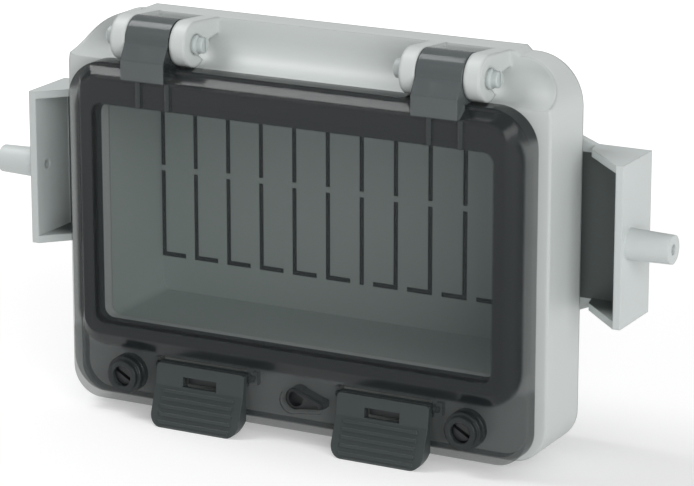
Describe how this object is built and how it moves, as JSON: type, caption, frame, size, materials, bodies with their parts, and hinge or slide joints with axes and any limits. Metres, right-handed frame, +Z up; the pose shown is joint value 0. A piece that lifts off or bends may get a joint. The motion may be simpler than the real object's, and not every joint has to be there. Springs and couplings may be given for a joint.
{
  "type": "hinged window enclosure for rail modules",
  "caption": "Shallow wall-opening enclosure with a hinged smoked window door, finger latches, a rear module box with knock-out strips, and side fixing brackets.",
  "frame": {"origin": "centre of the front frame's back rim, on the plane where the rim rests", "axes": "+X to the right along the width, +Y backwards into the rear box, +Z up towards the hinges"},
  "size_m": [0.3374, 0.0791, 0.1851],
  "materials": {
    "shell_light": "fine satin moulded grey",
    "box_grey": "satin moulded mid grey",
    "bracket_light": "fine satin moulded grey",
    "pin_light": "satin moulded grey",
    "door_smoke": "clear smoked, glossy",
    "latch_smoke": "smoked, glossy",
    "dark_plastic": "satin black",
    "seal_black": "dull",
    "screw_steel": "plain"
  },
  "bodies": {
    "enclosure": {"front_frame": "shell_light", "rear_box": "box_grey", "box_gasket": "seal_black", "box_screws": "screw_steel", "left_hinge_pin": "pin_light", "right_hinge_pin": "pin_light", "left_catch": "dark_plastic", "right_catch": "dark_plastic", "left_bracket": "bracket_light", "right_bracket": "bracket_light", "left_bracket_screws": "screw_steel", "right_bracket_screws": "screw_steel"},
    "door": {"door": "door_smoke", "door_gasket": "seal_black", "lock_insert": "dark_plastic", "left_screw_ring": "seal_black", "right_screw_ring": "seal_black"},
    "left_latch": {"left_latch": "latch_smoke"},
    "right_latch": {"right_latch": "latch_smoke"},
    "left_door_screw": {"left_door_screw": "dark_plastic"},
    "right_door_screw": {"right_door_screw": "dark_plastic"}
  },
  "joints": [
    {"name": "door_hinge", "type": "hinge", "parent": "enclosure", "child": "door", "pos_m": [0, -0.034, 0.08155], "axis": [-1, 0, 0], "range_deg": [0, 170]},
    {"name": "left_latch_pivot", "type": "hinge", "parent": "door", "child": "left_latch", "pos_m": [-0.0462, -0.0402, -0.06755], "axis": [-1, 0, 0], "range_deg": [0, 28]},
    {"name": "right_latch_pivot", "type": "hinge", "parent": "door", "child": "right_latch", "pos_m": [0.0462, -0.0402, -0.06755], "axis": [-1, 0, 0], "range_deg": [0, 28]},
    {"name": "left_screw_turn", "type": "hinge", "parent": "door", "child": "left_door_screw", "pos_m": [-0.0856, -0.042, -0.07355], "axis": [0, 1, 0], "range_deg": [0, 90]},
    {"name": "right_screw_turn", "type": "hinge", "parent": "door", "child": "right_door_screw", "pos_m": [0.0856, -0.042, -0.07355], "axis": [0, 1, 0], "range_deg": [0, 90]}
  ]
}
